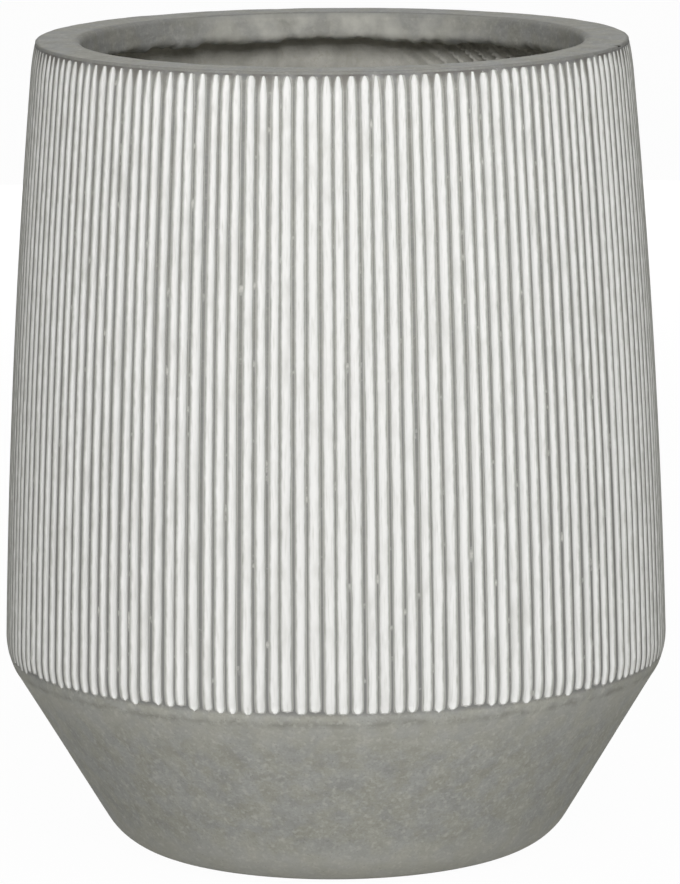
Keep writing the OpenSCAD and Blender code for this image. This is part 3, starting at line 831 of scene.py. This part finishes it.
def plugTab():
    # upright tab with a round top and an eye, its edges softened by a bevel
    p = plug
    seat = p["seat"] + p["flangeHeight"] - p["tabSunk"]
    half, steps = p["tabWidth"] / 2, p["tabSteps"]
    middle, flared = p["tabHeight"] - half, half * p["tabFlare"]
    outer = arcPoints((0, middle), half, 0, 180, steps // 2 + 1)
    outer += [(-flared, middle * 0.5), (-flared, 0.0), (flared, 0.0), (flared, middle * 0.5)]
    eye = arcPoints((0, middle), p["eye"], 0, 360, steps + 1)[:-1]
    work = bmesh.new()
    loops = []
    for ring in (outer, eye):
        verts = [work.verts.new((x * mm, -p["tabDepth"] / 2 * mm, (seat + z) * mm)) for x, z in ring]
        loops += [work.edges.new((verts[i], verts[(i + 1) % len(verts)])) for i in range(len(verts))]
    bmesh.ops.triangle_fill(work, edges=loops, use_beauty=True)
    sheet = bmesh.ops.extrude_face_region(work, geom=work.faces[:])
    moved = [g for g in sheet["geom"] if isinstance(g, bmesh.types.BMVert)]
    bmesh.ops.translate(work, verts=moved, vec=(0, p["tabDepth"] * mm, 0))
    bmesh.ops.recalc_face_normals(work, faces=work.faces)
    sharp = [e for e in work.edges if len(e.link_faces) == 2 and e.calc_face_angle() > 1.0]
    bmesh.ops.bevel(work, geom=sharp, offset=p["tabSoft"] * mm, segments=3, profile=0.5, affect="EDGES")
    mesh = bpy.data.meshes.new("plug_tab")
    work.to_mesh(mesh)
    work.free()
    return mesh


plugPiece = turned("plug_rubber", plugProfile(), plug["steps"], rubberBlack, None, 50)
takeIn(plugPiece.data, plugTab())
finishMesh(plugPiece.data, 45)
print("plug", len(plugPiece.data.polygons), "faces")

pieces = (
    (wall, "pot", "fluted_wall", "cement_face"), (slip, "pot", "flute_slip", "white_slip"),
    (baseCone, "pot", "base_cone", "cement_face"), (rimRing, "pot", "rim_ring", "cement_rim"),
    (wallLining, "pot", "wall_backing", "fibre_backing"), (baseLining, "pot", "base_backing", "fibre_backing"),
    (floorSlab, "pot", "floor_slab", "fibre_backing"), (plugPiece, "plug", "drain_plug", "plug_rubber"),
)
for piece, body, node, slotName in pieces:
    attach(piece, body)
    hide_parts(node)
print("pieces riding on their bodies")

# The studio: a pale floor, a white surround and soft light from the front, from above and from behind
studio = {
    "floor": "#e0e0de", "floorSize": 30.0, "drop": 0.2 * mm, "worldLevel": 0.18, "clear": 0.975,
    "lampAim": (0, 0, 0.25),
    "lamps": (  # name, place, size, power
        ("key_softbox", (0.16, -2.9, 2.25), 1.6, 63.0), ("low_softbox", (0.11, -3.0, 0.15), 0.5, 19.0),
        ("over_softbox", (0.0, -0.3, 2.75), 2.0, 9.0), ("back_softbox", (-0.06, 3.0, 0.36), 0.7, 46.0),
    ),
}


def seenRays(tree):
    # 1 for the rays that show the background: to the camera, in a reflection or through glass
    path = add(tree, "LightPath").outputs
    seen = add(tree, "Math", {0: path["Is Camera Ray"], 1: path["Is Glossy Ray"]}, operation="MAXIMUM")
    return add(tree, "Math", {0: seen, 1: path["Is Transmission Ray"]}, operation="MAXIMUM")


def makeStudio():
    work = bmesh.new()
    bmesh.ops.create_grid(work, x_segments=2, y_segments=2, size=studio["floorSize"] / 2)
    bmesh.ops.translate(work, verts=work.verts, vec=(0, 0, -studio["drop"]))
    mesh = bpy.data.meshes.new("studio_floor")
    work.to_mesh(mesh)
    work.free()
    material, tree, shader = newMaterial("studio_paper_matt")
    fill(tree, shader, {"Base Color": linear(studio["floor"]), "Roughness": 1.0, "Specular IOR Level": 0.0})
    clear = add(tree, "Math", {0: seenRays(tree), 1: studio["clear"]}, operation="MULTIPLY")
    white = add(tree, "Emission", {"Color": (1, 1, 1, 1), "Strength": 1.0})
    mixed = add(tree, "MixShader", {0: clear, 1: shader, 2: white})
    fill(tree, next(n for n in tree.nodes if n.type == "OUTPUT_MATERIAL"), {"Surface": mixed})
    floor = meshObject("studio_floor", mesh, material)

    world = bpy.data.worlds.new("studio_white")
    bpy.context.scene.world = world
    world.use_nodes = True
    tree = world.node_tree
    tree.nodes.clear()
    level = add(tree, "MapRange", {"Value": seenRays(tree), 3: studio["worldLevel"], 4: 1.0})
    surround = add(tree, "Background", {"Color": (1, 1, 1, 1), "Strength": level})
    add(tree, "OutputWorld", {"Surface": surround})

    for name, place, size, power in studio["lamps"]:
        lamp = bpy.data.lights.new(name, "AREA")
        lamp.shape, lamp.size, lamp.energy = "SQUARE", size, power
        holder = bpy.data.objects.new(name, lamp)
        holder.location = place
        way = Vector(studio["lampAim"]) - Vector(place)
        holder.rotation_euler = way.to_track_quat("-Z", "Y").to_euler()
        holder.visible_camera = False
        bpy.context.scene.collection.objects.link(holder)


makeStudio()

# The camera at the photograph's angle, half a flute round, so that a land faces it
view = {"distance": 3.998, "aim": 0.25, "azimuth": 180 / strips["Flutes"], "elevation": 9.77, "roll": -0.403,
        "lens": 269.6, "shiftX": 0.006, "shiftY": -0.0104, "sensor": 36.0, "frame": (680, 884)}


def makeCamera():
    lens = bpy.data.cameras.new("photo_camera")
    across, up = view["frame"]
    lens.sensor_fit, lens.sensor_height = "VERTICAL", view["sensor"]
    lens.sensor_width = view["sensor"] * across / up
    lens.lens, lens.shift_x, lens.shift_y = view["lens"], view["shiftX"], view["shiftY"]
    lens.clip_end = 100
    rise, around, roll = (math.radians(view[key]) for key in ("elevation", "azimuth", "roll"))
    camera = bpy.data.objects.new("photo_camera", lens)
    level = view["distance"] * math.cos(rise)
    camera.location = (level * math.sin(around), -level * math.cos(around),
                       view["aim"] + view["distance"] * math.sin(rise))
    turn = Euler((math.pi / 2 - rise, 0, around)).to_matrix() @ Euler((0, 0, roll)).to_matrix()
    camera.rotation_euler = turn.to_euler()
    bpy.context.scene.collection.objects.link(camera)
    bpy.context.scene.camera = camera


makeCamera()
bpy.context.scene.view_settings.view_transform = "Standard"
print("studio and camera ready")
